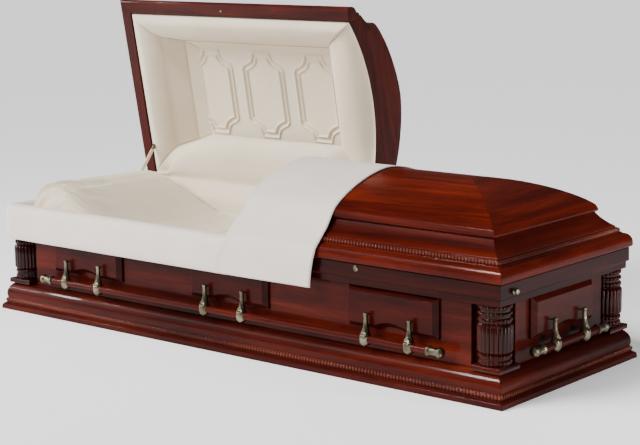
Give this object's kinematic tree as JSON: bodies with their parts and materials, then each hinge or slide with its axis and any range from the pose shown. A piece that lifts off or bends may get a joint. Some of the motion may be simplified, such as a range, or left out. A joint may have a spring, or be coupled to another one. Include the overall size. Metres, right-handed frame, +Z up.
{
  "type": "casket",
  "caption": "Gloss hardwood burial casket with a split domed lid, velvet interior, corner columns, raised panels and swing-bar carrying handles.",
  "frame": {"origin": "centre of the underside, on the surface that the casket rests on", "axes": "+X runs along the length towards the foot end, -Y is the front, +Y is the hinge side, +Z is up"},
  "size_m": [2.138, 0.9024, 1.0585],
  "materials": {
    "cherry": "high-gloss lacquer",
    "bare_wood": "unfinished",
    "velvet": "ivory velvet",
    "throw_cloth": "off-white velvet",
    "antique_metal": "cast, antiqued and lacquered"
  },
  "bodies": {
    "casket": {"bottom_board": "bare_wood", "base_moulding": "cherry", "front_wall": "cherry", "back_wall": "cherry", "head_wall": "cherry", "foot_wall": "cherry", "front_panel_head": "cherry", "front_panel_middle": "cherry", "front_panel_foot": "cherry", "back_panel_head": "cherry", "back_panel_middle": "cherry", "back_panel_foot": "cherry", "head_panel": "cherry", "foot_panel": "cherry", "column_head_front": "cherry", "column_head_back": "cherry", "column_foot_front": "cherry", "column_foot_back": "cherry", "top_rail": "cherry", "body_lining": "velvet", "mattress": "velvet", "pillow": "velvet", "extendover": "velvet"},
    "head_lid": {"head_lid_moulding": "cherry", "head_lid_crown": "cherry", "head_lid_header": "cherry", "head_lid_lining": "velvet"},
    "foot_lid": {"foot_lid_moulding": "cherry", "foot_lid_crown": "cherry", "foot_lid_header": "cherry", "throw": "throw_cloth"},
    "front_handle": {"front_bar": "cherry", "front_bar_tip_left": "antique_metal", "front_bar_tip_right": "antique_metal", "front_arm_1": "antique_metal", "front_arm_2": "antique_metal", "front_arm_3": "antique_metal", "front_arm_4": "antique_metal", "front_arm_5": "antique_metal", "front_arm_6": "antique_metal"},
    "back_handle": {"back_bar": "cherry", "back_bar_tip_left": "antique_metal", "back_bar_tip_right": "antique_metal", "back_arm_1": "antique_metal", "back_arm_2": "antique_metal", "back_arm_3": "antique_metal", "back_arm_4": "antique_metal", "back_arm_5": "antique_metal", "back_arm_6": "antique_metal"},
    "foot_handle": {"foot_bar": "cherry", "foot_bar_tip_left": "antique_metal", "foot_bar_tip_right": "antique_metal", "foot_arm_1": "antique_metal", "foot_arm_2": "antique_metal"},
    "head_handle": {"head_bar": "cherry", "head_bar_tip_left": "antique_metal", "head_bar_tip_right": "antique_metal", "head_arm_1": "antique_metal", "head_arm_2": "antique_metal"},
    "stay": {"stay_arm": "antique_metal"}
  },
  "joints": [
    {"name": "head_lid_hinge", "type": "hinge", "parent": "casket", "child": "head_lid", "pos_m": [0, 0.358, 0.3505], "axis": [1, 0, 0], "range_deg": [0, 80], "deforming": ["pillow", "extendover"]},
    {"name": "foot_lid_hinge", "type": "hinge", "parent": "casket", "child": "foot_lid", "pos_m": [0, 0.358, 0.3505], "axis": [-1, 0, 0], "range_deg": [0, 80]},
    {"name": "front_handle_swing", "type": "hinge", "parent": "casket", "child": "front_handle", "pos_m": [0, -0.358, 0.2025], "axis": [-1, 0, 0], "range_deg": [0, 80]},
    {"name": "back_handle_swing", "type": "hinge", "parent": "casket", "child": "back_handle", "pos_m": [0, 0.358, 0.2025], "axis": [1, 0, 0], "range_deg": [0, 80]},
    {"name": "foot_handle_swing", "type": "hinge", "parent": "casket", "child": "foot_handle", "pos_m": [1.0505, 0, 0.2025], "axis": [0, -1, 0], "range_deg": [0, 80]},
    {"name": "head_handle_swing", "type": "hinge", "parent": "casket", "child": "head_handle", "pos_m": [-1.0505, 0, 0.2025], "axis": [0, 1, 0], "range_deg": [0, 80]},
    {"name": "stay_pivot", "type": "hinge", "parent": "casket", "child": "stay", "pos_m": [-0.984, 0.197, 0.345], "axis": [1, 0, 0], "range_deg": [0, 128.5]}
  ],
  "couplings": [
    {"joint": "stay_pivot", "follows": "head_lid_hinge", "ratio": 1.6}
  ]
}
